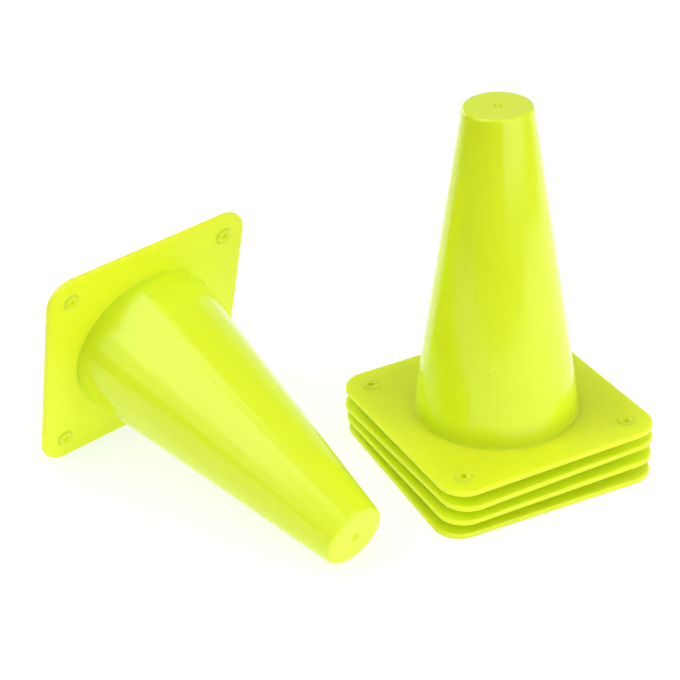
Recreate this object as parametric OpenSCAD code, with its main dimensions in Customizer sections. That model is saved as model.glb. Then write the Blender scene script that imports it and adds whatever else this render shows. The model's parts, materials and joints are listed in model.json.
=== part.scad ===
// Set of five identical one-piece sports marker cones.
// Four stand nested in a stack and one lies on its side, beside them.
// Millimetres. The origin is the centre of the bottom cone's underside, on the floor, and +Z is up.

/* [Cone] */
// Height of one cone, from its underside to its flat top
cone_h = 180; // [150:5:220]
// Width across the foot of the wall, where it meets the base plate
foot_d = 90.5; // [80:0.5:100]
// Width across the flat top, before its rim is rounded
top_d = 36; // [28:0.5:44]
// Thickness of the conical wall, square to its slope
wall_t = 1.1; // [0.8:0.1:1.8]
// Thickness of the flat top
top_t = 1.6; // [1.2:0.1:3]
// Radius that rounds the rim of the flat top
top_round_r = 2; // [1:0.1:3]
// Radius inside the cone, between the wall and the flat top
inner_round_r = 1; // [0.5:0.1:2]
// Radius of the fillet between the wall and the base plate
foot_fillet_r = 0.8; // [0.4:0.1:2]

/* [Base plate] */
// Length of one side of the square base plate
base_side = 130; // [115:1:150]
// Thickness of the base plate
base_t = 3; // [2:0.1:4]
// Radius of the plate's four corners, seen from above
base_corner_r = 15; // [8:1:25]
// Radius that rounds the plate's upper and lower edges
base_edge_r = 0.8; // [0.3:0.1:0.9]

/* [Eyelets] */
// Distance between the centres of two neighbouring eyelets
eyelet_spacing = 101.5; // [96:0.5:110]
// Outer diameter of one raised eyelet
eyelet_d = 9; // [7:0.1:11]
// Height of an eyelet above the base plate
eyelet_h = 1; // [0.6:0.1:2]
// Radius that rounds an eyelet's upper edge
eyelet_round_r = 0.4; // [0.2:0.1:0.5]
// Diameter of the ground peg's hole through eyelet and plate
peg_hole_d = 3.6; // [2.5:0.1:5]

/* [Gate mark] */
// Diameter of the round recess in the middle of the flat top
gate_recess_d = 5; // [4:0.1:8]
// Depth of that recess
gate_recess_depth = 0.6; // [0.3:0.1:0.9]
// Diameter of the moulding nub inside the recess
gate_nub_d = 2.2; // [1.5:0.1:3]
// Height of the nub above the recess's floor
gate_nub_h = 0.5; // [0.3:0.1:0.6]

/* [Stack] */
// Gap between the walls of two nested cones, square to their slope
nest_gap = 0.3; // [0.2:0.05:0.6]
// Turn of the second cone against the bottom one, in degrees
second_yaw = 1.9; // [-10:0.1:10]
// Turn of the third cone against the bottom one, in degrees
third_yaw = 3.6; // [-10:0.1:10]
// Turn of the top cone against the bottom one, in degrees
top_yaw = 2.3; // [-10:0.1:10]

/* [Lying cone] */
// Distance from the stack's side to the middle of the lying cone's top
lying_tip_gap = 48; // [35:1:80]
// Place of that top's middle along the stack's side, from the stack's centre
lying_tip_y = -56.5; // [-70:0.5:-40]
// Direction in which the lying cone points, in degrees from +X
lying_yaw = -73; // [-85:1:-60]

/* [Hidden] */
neon = [0.87, 0.96, 0.2];

// Sides of the large round shapes, sides of the small ones, and steps in one rounded edge
round_fn = 96;
small_fn = 36;
arc_steps = 5;
// How far a cutting tool runs past the surface that it cuts
cut_over = 1;
// Height inside the plate from which everything that stands on it starts
root_z = base_t / 2;

// Half angle of the cone, and the height that each nested cone adds to the stack
taper = atan((foot_d - top_d) / 2 / (cone_h - base_t));
nest_pitch = (wall_t + nest_gap) / sin(taper);

// Radius of the wall's outside and of its inside at height z
function wall_r(z) = top_d / 2 + (cone_h - z) * tan(taper);
function hollow_r(z) = wall_r(z) - wall_t / cos(taper);

// Points of an arc about a centre, from one angle to another
function arc(centre, r, from, to) =
    [for (i = [0 : arc_steps]) let (a = from + (to - from) * i / arc_steps)
        centre + r * [cos(a), sin(a)]];

// Centres of the arcs that round the top's rim, the foot and the corner inside the top
rim_z = cone_h - top_round_r;
rim_x = wall_r(rim_z) - top_round_r / cos(taper);
fillet_z = base_t + foot_fillet_r;
fillet_x = wall_r(fillet_z) + foot_fillet_r / cos(taper);
ceiling_z = cone_h - top_t;
inner_z = ceiling_z - inner_round_r;
inner_x = hollow_r(inner_z) - inner_round_r / cos(taper);

// Straight length of one side of the plate, between its corners
side_run = base_side - 2 * base_corner_r;
gate_floor_z = cone_h - gate_recess_depth;

// The lying cone rests on two round edges: its plate's upper one and the rim of its top.
// The floor is the line that touches both, so its tilt follows from their centres and radii.
edge_x = base_side / 2 - base_edge_r;
edge_z = base_t - base_edge_r;
edge_to_rim = norm([edge_x - rim_x, edge_z - rim_z]);
edge_to_rim_angle = atan2(edge_z - rim_z, edge_x - rim_x);
lying_tilt = edge_to_rim_angle + acos((top_round_r - base_edge_r) / edge_to_rim);
lying_h = cos(lying_tilt) * edge_x + sin(lying_tilt) * edge_z + base_edge_r;
lying_reach = cone_h * cos(lying_tilt);
lying_x = -base_side / 2 - lying_tip_gap - lying_reach * cos(lying_yaw);
lying_y = lying_tip_y - lying_reach * sin(lying_yaw);

// Outline of the plate's rim, seen in section from a corner's centre outwards
module plate_section()
    polygon(concat(
        [[0, 0]],
        arc([base_corner_r - base_edge_r, base_edge_r], base_edge_r, -90, 0),
        arc([base_corner_r - base_edge_r, base_t - base_edge_r], base_edge_r, 0, 90),
        [[0, base_t]]));

// Square plate with four round corners and rounded edges
module base_plate() {
    translate([-side_run / 2, -side_run / 2, 0])
        cube([side_run, side_run, base_t]);
    for (turn = [0 : 90 : 270])
        rotate([0, 0, turn]) {
            translate([side_run / 2, 0, 0])
                rotate([90, 0, 0])
                    linear_extrude(height = side_run, center = true)
                        plate_section();
            translate([side_run / 2, side_run / 2, 0])
                rotate_extrude(angle = 90, $fn = round_fn)
                    plate_section();
        }
}

// Outside of the conical wall, with its foot fillet and its rounded rim, still solid
module cone_outside()
    rotate_extrude($fn = round_fn)
        polygon(concat(
            [[0, root_z], [fillet_x, root_z]],
            arc([fillet_x, fillet_z], foot_fillet_r, 270, 180 + taper),
            arc([rim_x, rim_z], top_round_r, taper, 90),
            [[0, cone_h]]));

// Space inside the cone, open through the underside
module cone_inside()
    rotate_extrude($fn = round_fn)
        polygon(concat(
            [[0, -cut_over], [hollow_r(-cut_over), -cut_over]],
            arc([inner_x, inner_z], inner_round_r, taper, 90),
            [[0, ceiling_z]]));

// One raised eyelet, standing in the plate
module eyelet()
    rotate_extrude($fn = small_fn)
        polygon(concat(
            [[0, root_z], [eyelet_d / 2, root_z]],
            arc([eyelet_d / 2 - eyelet_round_r, base_t + eyelet_h - eyelet_round_r],
                eyelet_round_r, 0, 90),
            [[0, base_t + eyelet_h]]));

module peg_hole()
    translate([0, 0, -cut_over])
        cylinder(h = base_t + eyelet_h + 2 * cut_over, d = peg_hole_d, $fn = small_fn);

// Repeats its children at the plate's four eyelets
module at_eyelets()
    for (x = [-1, 1], y = [-1, 1])
        translate([x * eyelet_spacing / 2, y * eyelet_spacing / 2, 0])
            children();

module gate_recess()
    translate([0, 0, gate_floor_z])
        cylinder(h = gate_recess_depth + cut_over, d = gate_recess_d, $fn = small_fn);

module gate_nub()
    translate([0, 0, gate_floor_z - gate_nub_h / 2])
        cylinder(h = gate_nub_h * 3 / 2, d = gate_nub_d, $fn = small_fn);

// One whole cone, standing on its underside
module moulding() {
    difference() {
        union() {
            base_plate();
            cone_outside();
            at_eyelets() eyelet();
        }
        cone_inside();
        at_eyelets() peg_hole();
        gate_recess();
    }
    gate_nub();
}

// A cone at its place in the stack, counted from 0 at the bottom
module stacked(level, yaw)
    translate([0, 0, level * nest_pitch])
        rotate([0, 0, yaw])
            moulding();

module bottom_cone() color(neon) stacked(0, 0);

module second_cone() color(neon) stacked(1, second_yaw);

module third_cone() color(neon) stacked(2, third_yaw);

module top_cone() color(neon) stacked(3, top_yaw);

module lying_cone()
    color(neon)
        translate([lying_x, lying_y, lying_h])
            rotate([0, 90 + lying_tilt, lying_yaw])
                moulding();

bottom_cone();
second_cone();
third_cone();
top_cone();
lying_cone();
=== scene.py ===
import json
from math import atan2, ceil, cos, degrees, hypot, pi, radians, sin, tan

import bmesh
import bpy
from mathutils import Matrix, Vector, noise
from mathutils.geometry import area_tri, delaunay_2d_cdt


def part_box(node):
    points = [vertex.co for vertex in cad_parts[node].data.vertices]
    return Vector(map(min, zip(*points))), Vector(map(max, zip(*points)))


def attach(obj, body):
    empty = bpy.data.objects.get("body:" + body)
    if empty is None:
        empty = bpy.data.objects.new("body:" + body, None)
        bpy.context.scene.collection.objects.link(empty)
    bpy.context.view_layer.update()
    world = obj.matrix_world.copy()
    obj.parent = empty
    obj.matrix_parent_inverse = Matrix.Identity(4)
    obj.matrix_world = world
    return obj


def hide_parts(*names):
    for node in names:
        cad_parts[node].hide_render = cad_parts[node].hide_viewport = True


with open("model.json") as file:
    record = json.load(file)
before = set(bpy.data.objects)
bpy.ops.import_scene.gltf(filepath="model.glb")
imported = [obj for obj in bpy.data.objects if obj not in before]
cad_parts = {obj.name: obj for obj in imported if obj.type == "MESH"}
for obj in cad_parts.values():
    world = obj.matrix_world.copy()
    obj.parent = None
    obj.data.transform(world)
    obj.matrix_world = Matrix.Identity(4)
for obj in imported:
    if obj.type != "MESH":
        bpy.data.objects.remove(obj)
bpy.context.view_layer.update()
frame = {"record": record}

# The bottom cone. Each marker cone is a single injection moulding in low-density polyethylene, dyed
# neon yellow-green: a square base plate with four eyelets for ground pegs, and a thin conical wall
# that is open below and closed by a flat top, where the mould's gate left a nub in a round recess.

# Base plate
cone_low, cone_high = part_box("bottom_cone")
cone_height = cone_high.z - cone_low.z
plate_side = cone_high.x - cone_low.x
plate_thick = 0.003
corner_radius = 0.015
edge_round = 0.0008

# Wall and flat top. The wall sets in or out of true a little, in waves.
foot_radius = 0.04525
foot_fillet = 0.0004
top_radius = 0.018
top_thick = 0.0016
rim_round = 0.002
ceiling_round = 0.001
wall_thick = 0.0011
wall_wave = 0.00005
wave_length = 0.024
taper = atan2(foot_radius - top_radius, cone_height - plate_thick)

# Eyelets and their peg holes
millimetre = 0.001
mounts = {mount["name"]: mount for mount in frame["record"]["mounts"]}
peg_holes = mounts["bottom_peg_holes"]["dims"]
eyelet_spread = peg_holes["spacing_x_mm"] * millimetre / 2
eyelet_radius = 0.0045
eyelet_rise = 0.0007
eyelet_round = 0.0006
eyelet_fillet = 0.0009
hole_radius = peg_holes["hole_r_mm"] * millimetre
hole_break = 0.00015

# Recess and nub of the gate
gate_radius = 0.0025
gate_depth = 0.0006
gate_round = 0.0002
nub_radius = 0.0011
nub_rise = 0.0005
nub_round = 0.0003

# How fine the mesh is: steps round the cone, round an eyelet, round a corner of the plate, along its
# side and over a rounded edge, the spacing of the corners on plain faces, and the room that they
# leave beside the plate's rim and its holes
round_steps = 144
small_steps = 36
corner_steps = 14
side_steps = 26
arc_steps = 6
mesh_pitch = 0.004
rim_space = mesh_pitch * 0.75
hole_space = mesh_pitch / 2

# The flat strip beside a rounded edge, which keeps its shading to itself, and the limits for welding
# corners, for leaving out slivers and for a sharp edge
flat_margin = 0.0003
merge_reach = 1e-7
sliver_area = 1e-9
crease = radians(34)

# The mould's finishes, in the order of the mesh's material slots: the wall and its foot are polished,
# the plate and the eyelets matt, and the flat top etched. The polish starts just above the plate.
polished, matt, etched = range(3)
polish_margin = 0.000008
polish_start = plate_thick + polish_margin
etch_start = cone_height - flat_margin


def wall_radius(height):
    """Radius of the wall's outside at a height."""
    return top_radius + (cone_height - height) * tan(taper)


def hollow_radius(height):
    """Radius of the wall's inside at a height."""
    return wall_radius(height) - wall_thick / cos(taper)


def arc(centre, radius, start, end):
    """Points of a rounding in section, from one angle in degrees to another."""
    angles = [radians(start + (end - start) * i / arc_steps) for i in range(arc_steps + 1)]
    return [(centre[0] + radius * cos(a), centre[1] + radius * sin(a)) for a in angles]


def even(start, end, pitch):
    """Points between two others on a straight line, about a pitch apart, without the two."""
    count = ceil(hypot(end[0] - start[0], end[1] - start[1]) / pitch)
    shares = [i / count for i in range(1, count)]
    return [(start[0] + (end[0] - start[0]) * s, start[1] + (end[1] - start[1]) * s) for s in shares]


def skin(mesh, ring, other):
    """Joins two closed rings of as many corners with faces."""
    for i in range(len(ring)):
        mesh.faces.new((ring[i - 1], ring[i], other[i], other[i - 1]))


def lathe(mesh, section, steps, centre=(0, 0), closed=False):
    """Turns a section of (radius, height) points round an upright axis, and gives its end rings."""
    rings = []
    for radius, height in section:
        turns = [2 * pi * i / steps for i in range(steps)]
        points = [(centre[0] + radius * cos(a), centre[1] + radius * sin(a), height) for a in turns]
        rings.append([mesh.verts.new(point) for point in points])
    for ring, other in zip(rings, rings[1:]):
        skin(mesh, ring, other)
    if closed:
        middle = mesh.verts.new((*centre, section[-1][1]))
        for i in range(steps):
            mesh.faces.new((rings[-1][i - 1], rings[-1][i], middle))
    return rings[0], rings[-1]


def wall_section():
    """The outside, from the plate up the wall, over the rim and into the gate's recess."""
    fillet_height = plate_thick + foot_fillet
    fillet_middle = wall_radius(fillet_height) + foot_fillet / cos(taper)
    rim_height = cone_height - rim_round
    rim_middle = wall_radius(rim_height) - rim_round / cos(taper)
    foot = arc((fillet_middle, fillet_height), foot_fillet, 270, 180 + degrees(taper))
    rim = arc((rim_middle, rim_height), rim_round, degrees(taper), 90)
    start = (wall_radius(fillet_height + flat_margin), fillet_height + flat_margin)
    end = (wall_radius(rim_height - flat_margin), rim_height - flat_margin)
    wall = [start, *even(start, end, mesh_pitch), end]
    inner_edge = (gate_radius + gate_round + flat_margin, cone_height)
    outer_edge = (rim_middle - flat_margin, cone_height)
    disc = [outer_edge, *even(outer_edge, inner_edge, mesh_pitch / 2), inner_edge]
    floor = cone_height - gate_depth
    lip = arc((gate_radius + gate_round, cone_height - gate_round), gate_round, 90, 180)
    bed = [(gate_radius, floor), (nub_radius, floor)]
    nub = arc((nub_radius - nub_round, floor + nub_rise - nub_round), nub_round, 0, 90)
    return [(foot[0][0] + flat_margin, plate_thick), *foot, *wall, *rim, *disc, *lip, *bed, *nub]


def hollow_section():
    """The inside, from the open mouth up the wall to the middle of the ceiling."""
    ceiling = cone_height - top_thick
    bend_height = ceiling - ceiling_round
    bend_middle = hollow_radius(bend_height) - ceiling_round / cos(taper)
    mouth = (hollow_radius(0), 0)
    wall = [mouth, *even(mouth, (hollow_radius(bend_height), bend_height), mesh_pitch)]
    bend = arc((bend_middle, bend_height), ceiling_round, degrees(taper), 90)
    inner_end = (gate_radius, ceiling)
    return [*wall, *bend, *even(bend[-1], inner_end, mesh_pitch), inner_end]


def eyelet_section():
    """One eyelet, from the plate over its raised ring and down through the peg's hole."""
    top = plate_thick + eyelet_rise
    foot = arc((eyelet_radius + eyelet_fillet, plate_thick + eyelet_fillet), eyelet_fillet, 270, 180)
    ring = arc((eyelet_radius - eyelet_round, top - eyelet_round), eyelet_round, 0, 90)
    lip = arc((hole_radius + hole_break, top - hole_break), hole_break, 90, 180)
    return [(foot[0][0] + flat_margin, plate_thick), *foot, *ring, *lip, (hole_radius, 0)]


def plate_outline(inset):
    """Points round the square plate with its round corners, drawn in from its edge."""
    middle = plate_side / 2 - corner_radius
    radius = corner_radius - inset
    points = []
    for quarter in range(4):
        turn = Matrix.Rotation(quarter * pi / 2, 2)
        corner = [radians(90 * i / corner_steps) for i in range(corner_steps + 1)]
        bend = [(middle + radius * cos(a), middle + radius * sin(a)) for a in corner]
        side = even(bend[-1], (-middle, middle + radius), 2 * middle / side_steps)
        points += [turn @ Vector(point) for point in bend + side]
    return points


def plate_rim(mesh):
    """The plate's rounded edge all round, and its lowest and highest loops of corners."""
    low = arc((0, edge_round), edge_round, -90, 0)
    high = arc((0, plate_thick - edge_round), edge_round, 0, 90)
    section = [(-flat_margin, 0), *low, *high, (-flat_margin, plate_thick)]
    loops = []
    for out, height in section:
        outline = plate_outline(edge_round - out)
        loops.append([mesh.verts.new((*point, height)) for point in outline])
    for loop, other in zip(loops, loops[1:]):
        skin(mesh, loop, other)
    return loops[0], loops[-1]


def depth_in_plate(point):
    """How far a point lies inside the outline of the plate, seen from above."""
    middle = plate_side / 2 - corner_radius
    past = [abs(along) - middle for along in point]
    return corner_radius - (hypot(*past) if min(past) > 0 else max(past))


def spread_points(rounds):
    """Rows of points over the plate, clear of its rim and of the circles round its holes."""
    rows = int(plate_side / 2 / mesh_pitch)
    points = []
    for column in range(-rows, rows + 1):
        for row in range(-rows, rows + 1):
            point = Vector((column + (row % 2) / 2, row)) * mesh_pitch
            clear = all((point - middle).length > radius + hole_space for middle, radius in rounds)
            if clear and depth_in_plate(point) > rim_space:
                points.append(point)
    return points


def loop_edges(first, count):
    """The edges of a closed loop of corners, by their numbers."""
    return [(first + i, first + (i + 1) % count) for i in range(count)]


def flat_face(mesh, outline, holes):
    """Fills a flat face of the plate, between its outline and its round holes, with even triangles."""
    height = outline[0].co.z
    corners = list(outline)
    edges = loop_edges(0, len(outline))
    rounds = []
    for hole in holes:
        edges += loop_edges(len(corners), len(hole))
        corners += hole
        middle = sum((corner.co.xy for corner in hole), Vector((0, 0))) / len(hole)
        rounds.append((middle, (hole[0].co.xy - middle).length))
    corners += [mesh.verts.new((*point, height)) for point in spread_points(rounds)]
    places = [corner.co.xy for corner in corners]
    _, _, triangles, sources, _, _ = delaunay_2d_cdt(places, edges, [], 0, merge_reach)
    inside = [set(hole) for hole in holes]
    for triangle in triangles:
        points = [corners[sources[i][0]] for i in triangle]
        in_hole = any(hole.issuperset(points) for hole in inside)
        if not in_hole and area_tri(*(point.co for point in points)) > sliver_area:
            mesh.faces.new(points)


def settle_wall(corner):
    """Moves a corner of the wall in or out a little, as the moulding sets unevenly."""
    out = Vector((corner.co.x, corner.co.y, 0))
    upright = plate_thick + foot_fillet < corner.co.z < cone_height - rim_round
    if upright and out.length < foot_radius:
        wave = noise.noise(corner.co / wave_length)
        corner.co += out.normalized() * wave * wall_wave


def finish_of(face, turned_faces):
    """The finish that the mould gives a face."""
    height = face.calc_center_median().z
    if face not in turned_faces or height < polish_start:
        return matt
    return polished if height < etch_start else etched


def moulding(name):
    """One whole cone standing on the origin, as a closed mesh."""
    mesh = bmesh.new()
    eyelets = [(x * eyelet_spread, y * eyelet_spread) for x in (-1, 1) for y in (-1, 1)]
    foot, _ = lathe(mesh, wall_section(), round_steps, closed=True)
    mouth, _ = lathe(mesh, hollow_section(), round_steps, closed=True)
    turned_faces = set(mesh.faces)
    rings = [lathe(mesh, eyelet_section(), small_steps, centre) for centre in eyelets]
    under, upper = plate_rim(mesh)
    flat_face(mesh, upper, [foot] + [top for top, _ in rings])
    flat_face(mesh, under, [mouth] + [bottom for _, bottom in rings])
    for corner in mesh.verts:
        settle_wall(corner)
    bmesh.ops.recalc_face_normals(mesh, faces=mesh.faces)
    for face in mesh.faces:
        face.smooth = True
        face.material_index = finish_of(face, turned_faces)
    for edge in mesh.edges:
        edge.smooth = edge.calc_face_angle(0) < crease
    data = bpy.data.meshes.new(name)
    mesh.to_mesh(data)
    mesh.free()
    return data


# Colours of the dyed plastic: plain; paler, in its clouds and as painted light on the loose cone;
# darker, as painted shade at the foot of a nested wall; and in its dark specks
neon = (0.74, 0.90, 0.018, 1)
neon_pale_and_lit = (0.79, 0.965, 0.024, 1)
neon_painted_shade = (0.53, 0.64, 0.012, 1)
neon_speck = (0.30, 0.36, 0.02, 1)
white = (1, 1, 1, 1)

# How far red, green and blue light spread in the plastic, as shares of a finish's own reach
light_shares = (0.88, 1, 0.22)

# How much paler the clouds in the dye are, how much lighter the loose cone is painted, as painted light,
# and the height to which the foot of a wall is painted darker, as painted shade, and blurred
mottle_share = 0.4
loose_light_share = 0.75
foot_reach = 0.018
foot_blur = 0.3
blur_reach = 0.007

# Clouds and flow marks. Their sum mostly lies between the two limits, and the gloss changes with it.
cloud_scale = 38
cloud_detail = 3
flow_turns = 5
flow_stretch = 7
flow_scale = 3
flow_detail = 4
flow_depth = 0.00006
patch_low = 0.75
patch_high = 1.25
gloss_change = 0.03

# Specks, and the fine grain of the mould's surface
speck_scale = 260
speck_size = 0.07
speck_rarity = 0.87
speck_share = 0.5
grain_detail = 2


def add_node(tree, kind, inputs=(), **settings):
    """A shader node with its settings, and its inputs as values or as links from other sockets."""
    node = tree.nodes.new("ShaderNode" + kind)
    for key, value in settings.items():
        setattr(node, key, value)
    for key, value in dict(inputs).items():
        if isinstance(value, bpy.types.NodeSocket):
            tree.links.new(value, node.inputs[key])
        else:
            node.inputs[key].default_value = value
    return node


def number_node(tree, operation, first, second, **settings):
    """A number worked out from two others."""
    return add_node(tree, "Math", {0: first, 1: second}, operation=operation, **settings).outputs[0]


def vector_node(tree, operation, first, second=(0, 0, 0), output="Vector"):
    """A vector worked out from one or two others, or with the output Value a number."""
    return add_node(tree, "VectorMath", {0: first, 1: second}, operation=operation).outputs[output]


def ramp(tree, value, start, end, low, high, **settings):
    """Goes from low to high as a value goes from start to end, and stays level past both."""
    limits = {"From Min": start, "From Max": end, "To Min": low, "To Max": high}
    return add_node(tree, "MapRange", {"Value": value, **limits}, **settings).outputs[0]


def patches(tree, place, scale, detail):
    """Soft random patches, as a number about one half that changes from place to place."""
    return add_node(tree, "TexNoise", {"Vector": place, "Scale": scale, "Detail": detail}).outputs[0]


def mixed(tree, share, first, second):
    """The colour that lies between two others."""
    return add_node(tree, "Mix", {0: share, 6: first, 7: second}, data_type="RGBA").outputs[2]


def cone_value(tree, key, output="Vector"):
    """What each cone's own object says under a name, as place_cone wrote it there."""
    return add_node(tree, "Attribute", attribute_type="OBJECT", attribute_name=key).outputs[output]


def cone_point(tree):
    """The shaded point in the cone's own axes, as if the cone stood on the origin."""
    in_frame = add_node(tree, "TexCoord").outputs["Object"]
    moved = vector_node(tree, "SUBTRACT", in_frame, cone_value(tree, "stand"))
    turned = add_node(tree, "VectorRotate", {"Vector": moved, "Rotation": cone_value(tree, "lean")},
                      rotation_type="EULER_XYZ", invert=True)
    return turned.outputs[0]


def flow_marks(tree, own, shot):
    """Streaks down the wall and out over the plate, the way that the melt ran from the gate."""
    level = vector_node(tree, "MULTIPLY", own, (1, 1, 0))
    outward = vector_node(tree, "NORMALIZE", level)
    around = vector_node(tree, "MULTIPLY", outward, (flow_turns, flow_turns, flow_turns))
    down = vector_node(tree, "MULTIPLY", own, (0, 0, flow_stretch))
    unrolled = vector_node(tree, "ADD", around, down)
    return patches(tree, vector_node(tree, "ADD", unrolled, shot), flow_scale, flow_detail)


def specks(tree, place):
    """The share of dark speck at a point: a few small spots with soft edges, far apart."""
    cells = add_node(tree, "TexVoronoi", {"Vector": place, "Scale": speck_scale})
    spot = ramp(tree, cells.outputs["Distance"], speck_size, speck_size * 2, speck_share, 0)
    chosen = number_node(tree, "GREATER_THAN", cells.outputs["Color"], speck_rarity)
    return number_node(tree, "MULTIPLY", spot, chosen)


def neon_plastic(name, roughness, clear_share, light_reach, foot_shade_and_blur, painted_sheen, grain_scale, grain_depth):
    """The dyed plastic in one finish: a slightly cloudy colour, flow marks, specks and a fine grain.

    The share clear_share of the light goes in and spreads about as far as light_reach. The foot of a
    nested wall is painted darker, as painted shade, and made duller, by foot_shade_and_blur, and
    painted_sheen is a share of white mixed in, as a painted sheen. The loose cone is painted lighter, as
    painted light.
    """
    material = bpy.data.materials.new(name)
    material.use_nodes = True
    tree = material.node_tree
    shader = tree.nodes["Principled BSDF"]
    shader.inputs["Subsurface Weight"].default_value = clear_share
    shader.inputs["Subsurface Radius"].default_value = light_shares
    shader.inputs["Subsurface Scale"].default_value = light_reach
    shot = cone_value(tree, "shot")
    nested = cone_value(tree, "nested", output="Fac")
    own = cone_point(tree)
    place = vector_node(tree, "ADD", own, shot)
    height = add_node(tree, "SeparateXYZ", {0: own}).outputs["Z"]
    flow = flow_marks(tree, own, shot)
    patchy = number_node(tree, "ADD", patches(tree, place, cloud_scale, cloud_detail), flow)

    mottle = ramp(tree, patchy, patch_low, patch_high, 0, mottle_share)
    # Painted light: a cone with nested near 0, the loose one, is painted lighter
    loose_light = ramp(tree, nested, 0, 1, loose_light_share, 0)
    pale_and_lit = number_node(tree, "ADD", mottle, loose_light, use_clamp=True)
    # Painted shade: the foot of a nested wall is painted darker
    foot = ramp(tree, height, plate_thick, foot_reach, foot_shade_and_blur, 0, interpolation_type="SMOOTHSTEP")
    foot_painted_shade = number_node(tree, "MULTIPLY", foot, nested)
    dye = mixed(tree, foot_painted_shade, mixed(tree, pale_and_lit, neon, neon_pale_and_lit), neon_painted_shade)
    # Painted sheen: a share of white mixed into the colour
    with_sheen = mixed(tree, painted_sheen, dye, white)
    tree.links.new(mixed(tree, specks(tree, place), with_sheen, neon_speck), shader.inputs["Base Color"])

    gloss = ramp(tree, patchy, patch_low, patch_high, roughness - gloss_change, roughness + gloss_change)
    blur = ramp(tree, height, plate_thick, blur_reach, foot_shade_and_blur * foot_blur, 0)
    tree.links.new(number_node(tree, "ADD", gloss, blur), shader.inputs["Roughness"])
    grain = patches(tree, place, grain_scale, grain_detail)
    fine = add_node(tree, "Bump", {"Height": grain, "Distance": grain_depth}).outputs[0]
    marks = add_node(tree, "Bump", {"Height": flow, "Distance": flow_depth, "Normal": fine}).outputs[0]
    tree.links.new(marks, shader.inputs["Normal"])
    return material


# The polished finish carries the painted shade at the foot of a nested wall, and the etched finish the
# painted sheen
in_finish = {
    polished: neon_plastic("neon_polished", roughness=0.165, clear_share=0.12, light_reach=0.004,
                           foot_shade_and_blur=0.85, painted_sheen=0, grain_scale=1400, grain_depth=0.000004),
    matt: neon_plastic("neon_matt", roughness=0.40, clear_share=0.85, light_reach=0.008,
                       foot_shade_and_blur=0, painted_sheen=0, grain_scale=1100, grain_depth=0.000012),
    etched: neon_plastic("neon_etched", roughness=0.44, clear_share=0.1, light_reach=0.003,
                         foot_shade_and_blur=0, painted_sheen=0.03, grain_scale=700, grain_depth=0.00003),
}
marker_cone = moulding("marker_cone")
for finish in (polished, matt, etched):
    marker_cone.materials.append(in_finish[finish])


def place_cone(name, place, shot, nested):
    """Puts a moulding where its cone lies in the frame, instead of the plain one.

    The place is in the mesh, so stand and lean tell the plastic of it. The offset shot gives each cone
    clouds, marks and specks of its own, and nested sets its painted light and shade: at 0 the loose
    cone is painted lighter, and towards 1 the foot of its wall is painted darker.
    """
    mesh = marker_cone.copy()
    mesh.transform(place)
    cone = bpy.data.objects.new(name + "_moulding", mesh)
    cone["stand"] = tuple(place.translation)
    cone["lean"] = tuple(place.to_euler())
    cone["shot"] = shot
    cone["nested"] = nested
    bpy.context.scene.collection.objects.link(cone)
    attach(cone, name)
    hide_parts(name)


def stacked(name, turn):
    """The place of a cone in the stack: its node's lowest point, and its turn in degrees."""
    return Matrix.Translation((0, 0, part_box(name)[0].z)) @ Matrix.Rotation(radians(turn), 4, "Z")


place_cone("bottom_cone", stacked("bottom_cone", turn=0), shot=(0.0, 0.0, 0.0), nested=0.85)

# Three more cones, nested over the first. Each is the same moulding, dropped over the one below
# until their walls bear on each other, and each has come to rest turned a little.
place_cone("second_cone", stacked("second_cone", turn=1.9), shot=(3.1, 0.7, 1.9), nested=0.95)
place_cone("third_cone", stacked("third_cone", turn=3.6), shot=(5.3, 2.9, 4.3), nested=0.8)
place_cone("top_cone", stacked("top_cone", turn=2.3), shot=(7.9, 6.1, 2.3), nested=0.95)

# The loose cone, lying on its side. It is the same moulding again, at rest on the upper edge of its
# plate and on the rim of its top, and nothing holds it.
base_face = mounts["lying_base_face"]
up = -Vector(base_face["axis"])
side = Vector((up.y, -up.x, 0)).normalized()
lying = Matrix((up.cross(side), -side, up)).transposed().to_4x4()
on_its_side = Matrix.Translation(base_face["pos_m"]) @ lying
place_cone("lying_cone", on_its_side, shot=(1.7, 8.3, 6.7), nested=0.0)

# The floor: a sheet of white paper on a lit table, brighter towards the back right, which ends a little
# in front of the cones. The eye sees it bleached, as the photograph does, and pure white further out,
# but the soft shadows stay on it.
view_heading = radians(23.655)
sheet_left, sheet_right = -0.5, 0.55
sheet_front, sheet_back = -0.37, 1.3
sheet_white = (0.8, 0.8, 0.8, 1)
glow_heading = radians(60)
glow_from, glow_to = -0.3, 0.5
glow_dim, glow_bright = 0.24, 0.75
floor_bleach = 0.6
shadow_reach = 0.26
white_reach = 0.48
ahead = Vector((sin(view_heading), cos(view_heading), 0))
right = Vector((cos(view_heading), -sin(view_heading), 0))
sheet_corners = [
    right * across + ahead * along
    for across, along in ((sheet_left, sheet_front), (sheet_right, sheet_front),
                          (sheet_right, sheet_back), (sheet_left, sheet_back))
]
sheet = bpy.data.meshes.new("paper_floor")
sheet.from_pydata(sheet_corners, [], [(0, 1, 2, 3)])
floor = bpy.data.objects.new("paper_floor", sheet)
bpy.context.scene.collection.objects.link(floor)
paper = bpy.data.materials.new("white_paper")
paper.use_nodes = True
sheet.materials.append(paper)
tree = paper.node_tree
tree.nodes.remove(tree.nodes["Principled BSDF"])
spot_seen = add_node(tree, "NewGeometry").outputs["Position"]
brighter = (sin(glow_heading), cos(glow_heading), 0)
along_glow = vector_node(tree, "DOT_PRODUCT", spot_seen, brighter, output="Value")
table_glow = ramp(tree, along_glow, glow_from, glow_to, glow_dim, glow_bright)
dull = add_node(tree, "BsdfDiffuse", {"Color": sheet_white}).outputs[0]
glowing = add_node(tree, "Emission", {"Strength": table_glow}).outputs[0]
lit_sheet = add_node(tree, "AddShader", {0: dull, 1: glowing}).outputs[0]
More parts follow.
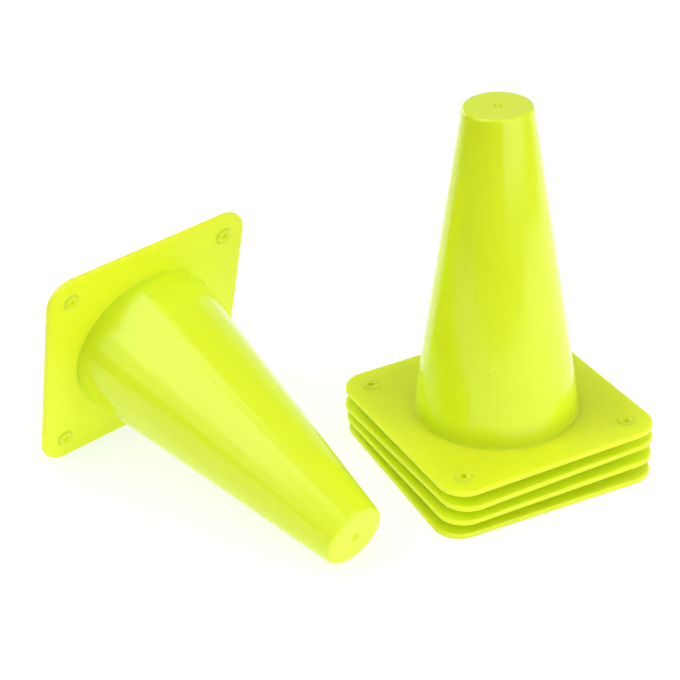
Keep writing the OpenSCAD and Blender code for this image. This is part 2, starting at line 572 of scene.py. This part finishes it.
far_out = vector_node(tree, "LENGTH", spot_seen, output="Value")
bleach = ramp(tree, far_out, shadow_reach, white_reach, floor_bleach, 1)
by_eye = add_node(tree, "LightPath").outputs["Is Camera Ray"]
shown = number_node(tree, "MULTIPLY", by_eye, bleach)
bleached = add_node(tree, "Emission").outputs[0]
blend = add_node(tree, "MixShader", {0: shown, 1: lit_sheet, 2: bleached}).outputs[0]
tree.links.new(blend, tree.nodes["Material Output"].inputs["Surface"])

# The room: a little plain light from all round, a little more from the ceiling, a white backdrop low
# behind the table, and a white background for the eye.
room_fill = 0.11
ceiling_light = 0.11
ceiling_low, ceiling_high = sin(radians(10)), sin(radians(40))
backdrop_light = 0.7
backdrop_low, backdrop_high = sin(radians(12)), sin(radians(34))
backdrop_heading = radians(30)
backdrop_end, backdrop_full = 0.25, 0.65
world = bpy.data.worlds.new("room")
world.use_nodes = True
tree = world.node_tree
outward = add_node(tree, "TexCoord").outputs["Generated"]
height = add_node(tree, "SeparateXYZ", {0: outward}).outputs["Z"]
above = ramp(tree, height, ceiling_low, ceiling_high, room_fill, room_fill + ceiling_light)
below = ramp(tree, height, backdrop_low, backdrop_high, backdrop_light, 0)
back = (sin(backdrop_heading), cos(backdrop_heading), 0)
facing = vector_node(tree, "DOT_PRODUCT", outward, back, output="Value")
behind = ramp(tree, facing, backdrop_end, backdrop_full, 0, 1)
backdrop = number_node(tree, "MULTIPLY", below, behind)
lit = number_node(tree, "ADD", backdrop, above)
by_eye = add_node(tree, "LightPath").outputs["Is Camera Ray"]
strength = ramp(tree, by_eye, 0, 1, lit, 1)
tree.links.new(strength, tree.nodes["Background"].inputs["Strength"])
tree.nodes["Background"].inputs["Color"].default_value = white
bpy.context.scene.world = world

# The lamps, all of them soft boxes: a long one that leans over from the left up to overhead, dimmer
# in its lower third, a small one just past its upper end, a wide one above the camera, a small one
# high up in front, a low panel close by on the right in front, and two more at the side and behind.


def soft_box(name, middle, aim, across, along, radiance):
    """A lamp of even brightness, across wide and along high, which faces a point."""
    lamp = bpy.data.lights.new(name, "AREA")
    lamp.shape = "RECTANGLE"
    lamp.size = across
    lamp.size_y = along
    lamp.energy = radiance * pi * across * along
    holder = bpy.data.objects.new(name, lamp)
    holder.location = middle
    holder.rotation_mode = "QUATERNION"
    holder.rotation_quaternion = (Vector(aim) - Vector(middle)).to_track_quat("-Z", "Y")
    holder.visible_camera = False
    bpy.context.scene.collection.objects.link(holder)


def away(azimuth, height, distance):
    """A point at a height, some way off from the stack's axis; the azimuth turns from +Y to +X."""
    turn = radians(azimuth)
    return Vector((distance * sin(turn), distance * cos(turn), height))


box_low = Vector((-1.7, 0.06, 0.2))
box_high = Vector((-0.33, 0.06, 1.52))
box_width = 0.72
dim_share = 0.33
box_face = Vector((box_high.z - box_low.z, 0, box_low.x - box_high.x))
box_length = (box_high - box_low).length
for part, start, end, radiance in (("foot", 0, dim_share, 1.0), ("head", dim_share, 1, 2.4)):
    middle = box_low.lerp(box_high, (start + end) / 2)
    soft_box("left_box_" + part, middle, aim=middle + box_face,
             across=box_width, along=box_length * (end - start), radiance=radiance)
soft_box("top_box", (-0.16, 0.2, 1.53), aim=(-0.16, 0.2, 0),
         across=0.34, along=0.44, radiance=2.4)
soft_box("front_box", away(azimuth=172, height=0.88, distance=1.21), aim=(0, 0, 0.1),
         across=2.2, along=0.75, radiance=0.85)
soft_box("near_panel", away(azimuth=159, height=0.25, distance=0.65), aim=(0, 0, 0.25),
         across=0.9, along=0.4, radiance=1.8)
soft_box("side_panel", away(azimuth=97, height=0.22, distance=0.9), aim=(0, 0, 0.22),
         across=0.75, along=0.4, radiance=0.65)
soft_box("back_panel", away(azimuth=-22, height=0.28, distance=1.3), aim=(0, 0, 0.1),
         across=1.05, along=0.5, radiance=2.6)
soft_box("high_panel", away(azimuth=148, height=1.2, distance=0.5), aim=(0, 0, 0.1),
         across=0.6, along=0.6, radiance=2.6)

# The camera, at the photograph's viewing angle: where it stands, how far it looks down, how far it is
# tilted, and its lens and sensor in millimetres.
eye = Vector((-0.4102, -0.7276, 0.5822))
dip = radians(31.384)
roll = radians(-2.629)
focal_length = 96.31
sensor_width = 36
lens = bpy.data.cameras.new("camera")
lens.sensor_width = sensor_width
lens.lens = focal_length
camera = bpy.data.objects.new("camera", lens)
aim = Matrix.Rotation(-view_heading, 4, "Z") @ Matrix.Rotation(pi / 2 - dip, 4, "X")
camera.matrix_world = Matrix.Translation(eye) @ aim @ Matrix.Rotation(roll, 4, "Z")
bpy.context.scene.collection.objects.link(camera)
bpy.context.scene.camera = camera
bpy.context.scene.view_settings.view_transform = "Standard"
